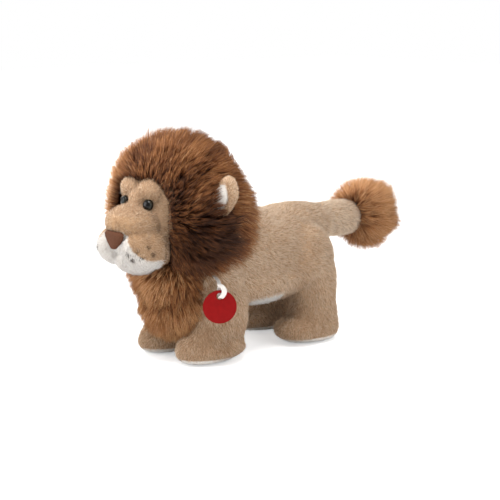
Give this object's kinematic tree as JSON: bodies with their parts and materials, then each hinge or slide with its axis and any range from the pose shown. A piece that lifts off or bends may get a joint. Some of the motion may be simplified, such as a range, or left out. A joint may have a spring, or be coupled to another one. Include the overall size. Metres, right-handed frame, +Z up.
{
  "type": "plush lion",
  "caption": "Standing plush lion with a long-pile brown mane and tail tuft, white muzzle and soles and a round hang tag; head, legs, tail, ears and tag move",
  "frame": {"origin": "on the floor, below the middle of the toy's box", "axes": "+Z up, the lion looks along -Y, its left side is at +X"},
  "size_m": [0.15, 0.3494, 0.1985],
  "materials": {
    "beige_plush": "short pile plush, matt",
    "white_plush": "short pile plush, matt",
    "brown_fur": "long pile fur, soft sheen",
    "stuffing": "loose fibre",
    "nose": "flocked, matt",
    "eyes": "glossy",
    "washers": "moulded",
    "ribbon": "satin",
    "tag": "laminated card, satin"
  },
  "bodies": {
    "torso": {"body_cover": "beige_plush", "belly_panel": "white_plush", "body_stuffing": "stuffing", "rear_mane": "brown_fur", "chest_ruff": "brown_fur"},
    "head": {"head_cover": "beige_plush", "head_stuffing": "stuffing", "muzzle_cover": "white_plush", "muzzle_stuffing": "stuffing", "nose": "nose", "eye_left": "eyes", "eye_right": "eyes", "eye_washer_left": "washers", "eye_washer_right": "washers", "front_mane": "brown_fur"},
    "front_left_leg": {"front_left_leg_cover": "beige_plush", "front_left_leg_stuffing": "stuffing", "front_left_leg_sole": "white_plush"},
    "front_right_leg": {"front_right_leg_cover": "beige_plush", "front_right_leg_stuffing": "stuffing", "front_right_leg_sole": "white_plush"},
    "hind_left_leg": {"hind_left_leg_cover": "beige_plush", "hind_left_leg_stuffing": "stuffing", "hind_left_leg_sole": "white_plush"},
    "hind_right_leg": {"hind_right_leg_cover": "beige_plush", "hind_right_leg_stuffing": "stuffing", "hind_right_leg_sole": "white_plush"},
    "tail": {"tail_cover": "beige_plush", "tail_stuffing": "stuffing", "tail_tuft": "brown_fur"},
    "left_ear": {"left_ear_back": "beige_plush", "left_ear_lining": "white_plush"},
    "right_ear": {"right_ear_back": "beige_plush", "right_ear_lining": "white_plush"},
    "ribbon": {"tag_ribbon": "ribbon"},
    "hang_tag": {"hang_tag": "tag"}
  },
  "joints": [
    {"name": "head_turn", "type": "hinge", "parent": "torso", "child": "head", "pos_m": [0, -0.10434, 0.132], "axis": [0, 0, 1], "range_deg": [-12, 12], "stiffness_Nm_per_rad": 0.5},
    {"name": "front_left_leg_swing", "type": "hinge", "parent": "torso", "child": "front_left_leg", "pos_m": [0.0275, -0.08634, 0.06], "axis": [1, 0, 0], "range_deg": [-10, 10], "stiffness_Nm_per_rad": 0.4},
    {"name": "front_right_leg_swing", "type": "hinge", "parent": "torso", "child": "front_right_leg", "pos_m": [-0.0275, -0.08634, 0.06], "axis": [1, 0, 0], "range_deg": [-10, 10], "stiffness_Nm_per_rad": 0.4},
    {"name": "hind_left_leg_swing", "type": "hinge", "parent": "torso", "child": "hind_left_leg", "pos_m": [0.0315, 0.03166, 0.064], "axis": [1, 0, 0], "range_deg": [-10, 10], "stiffness_Nm_per_rad": 0.4},
    {"name": "hind_right_leg_swing", "type": "hinge", "parent": "torso", "child": "hind_right_leg", "pos_m": [-0.0315, 0.03166, 0.064], "axis": [1, 0, 0], "range_deg": [-10, 10], "stiffness_Nm_per_rad": 0.4},
    {"name": "tail_wag", "type": "hinge", "parent": "torso", "child": "tail", "pos_m": [0, 0.05466, 0.1055], "axis": [0, 0, 1], "range_deg": [-20, 20], "stiffness_Nm_per_rad": 0.05},
    {"name": "left_ear_fold", "type": "hinge", "parent": "head", "child": "left_ear", "pos_m": [0.05229, -0.09881, 0.14028], "axis": [-0.1564, 0, 0.9877], "range_deg": [-18, 8], "stiffness_Nm_per_rad": 0.01},
    {"name": "right_ear_fold", "type": "hinge", "parent": "head", "child": "right_ear", "pos_m": [-0.05229, -0.09881, 0.14028], "axis": [-0.1564, 0, -0.9877], "range_deg": [-18, 8], "stiffness_Nm_per_rad": 0.01},
    {"name": "ribbon_swing", "type": "hinge", "parent": "torso", "child": "ribbon", "pos_m": [0.03998, -0.09184, 0.083], "axis": [-0.5736, -0.8191, 0], "range_deg": [0, 20]},
    {"name": "tag_swing", "type": "hinge", "parent": "ribbon", "child": "hang_tag", "pos_m": [0.06128, -0.10675, 0.06815], "axis": [-0.5736, -0.8191, 0], "range_deg": [-4, 25]}
  ]
}
